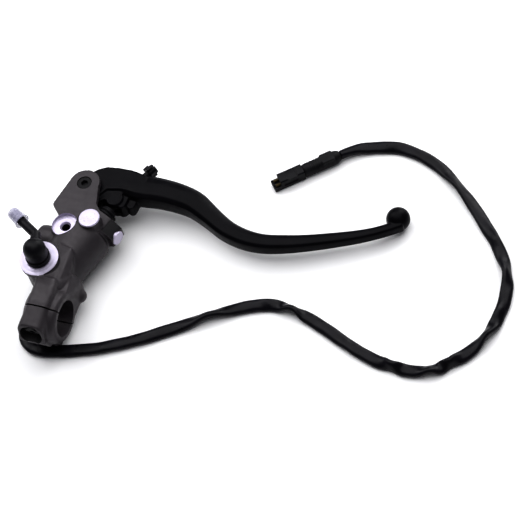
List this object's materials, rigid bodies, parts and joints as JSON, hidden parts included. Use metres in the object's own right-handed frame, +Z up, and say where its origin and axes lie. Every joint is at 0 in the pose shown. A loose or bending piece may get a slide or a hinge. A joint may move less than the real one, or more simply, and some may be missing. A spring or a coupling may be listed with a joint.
{
  "type": "brake master cylinder with lever",
  "caption": "Radial front brake master cylinder for a handlebar, with hand lever, bar clamp, swivelling reservoir elbow and brake-light lead with connector.",
  "frame": {"origin": "centre of the handlebar bore in the bar clamp", "axes": "+X along the handlebar, from the clamp towards the lever's ball end; +Y away from the rider; +Z up, along the lever's pivot"},
  "size_m": [0.2945, 0.1946, 0.0567],
  "materials": {
    "anodised": "hard anodised, matt, warm dark grey",
    "lever_black": "satin black anodised",
    "machined": "bright machined face",
    "steel": "zinc plated",
    "black_steel": "black oxide",
    "bronze": "plain bearing bronze",
    "terminal_brass": "tinned brass",
    "black_plastic": "moulded, fine grain",
    "clear_plastic": "translucent, milky",
    "black_rubber": "matt rubber",
    "sleeve": "soft vinyl sleeve"
  },
  "bodies": {
    "perch": {"master_cylinder_body": "anodised", "bar_clamp_cap": "anodised", "clamp_screws": "black_steel", "badge_disc": "machined", "passage_plug": "machined", "elbow_retaining_ring": "steel", "piston_spring": "steel", "stop_washer": "steel", "circlip": "steel", "dust_boot": "black_rubber", "pivot_bush": "bronze", "pivot_screw": "black_steel", "pivot_nut": "steel", "brake_light_switch": "black_plastic", "switch_screws": "steel", "cable_collar": "black_rubber", "switch_cable": "sleeve", "connector_boot": "black_rubber", "connector_housing": "black_plastic", "connector_terminals": "terminal_brass"},
    "lever": {"lever_blade": "lever_black", "detent_ball": "steel", "detent_spring": "steel"},
    "piston": {"piston": "machined", "primary_seal": "black_rubber", "secondary_seal": "black_rubber"},
    "pushrod": {"pushrod": "steel", "barrel_nut": "steel"},
    "adjuster": {"adjuster_spindle": "steel", "adjuster_knob": "black_plastic"},
    "elbow": {"reservoir_elbow": "black_plastic", "elbow_o_ring": "black_rubber"},
    "spout_cap": {"spout_cap": "clear_plastic"},
    "plunger": {"switch_plunger": "steel"}
  },
  "joints": [
    {"name": "lever_pivot", "type": "hinge", "parent": "perch", "child": "lever", "pos_m": [-0.00849, 0.08903, -0.0035], "axis": [0, 0, -1], "range_deg": [0, 15], "stiffness_Nm_per_rad": 0.3, "springref_deg": -11.46},
    {"name": "piston_slide", "type": "slide", "parent": "perch", "child": "piston", "axis": [-0.3007, -0.9537, 0], "range_m": [0, 0.00513], "deforming": ["piston_spring", "dust_boot"]},
    {"name": "pushrod_swivel", "type": "hinge", "parent": "lever", "child": "pushrod", "pos_m": [0.01083, 0.08614, -0.0035], "axis": [0, 0, -1], "range_deg": [-15, 0]},
    {"name": "adjuster_turn", "type": "hinge", "parent": "lever", "child": "adjuster", "pos_m": [0.01083, 0.08614, -0.0035], "axis": [0.4462, 0.8949, 0], "range_deg": [-180, 180]},
    {"name": "plunger_slide", "type": "slide", "parent": "perch", "child": "plunger", "axis": [0, 0, 1], "range_m": [0, 0.00126]},
    {"name": "elbow_swivel", "type": "hinge", "parent": "perch", "child": "elbow", "pos_m": [-0.011, 0.0263, 0.02], "axis": [0, 0, 1], "range_deg": [-120, 120]},
    {"name": "cap_pull", "type": "slide", "parent": "elbow", "child": "spout_cap", "axis": [-0.8616, 0.5075, 0], "range_m": [0, 0.012]}
  ],
  "couplings": [
    {"joint": "piston_slide", "follows": "lever_pivot", "m_per_rad": 0.019485},
    {"joint": "pushrod_swivel", "follows": "lever_pivot", "ratio": -1},
    {"joint": "plunger_slide", "follows": "lever_pivot", "m_per_rad": 0.00477}
  ]
}
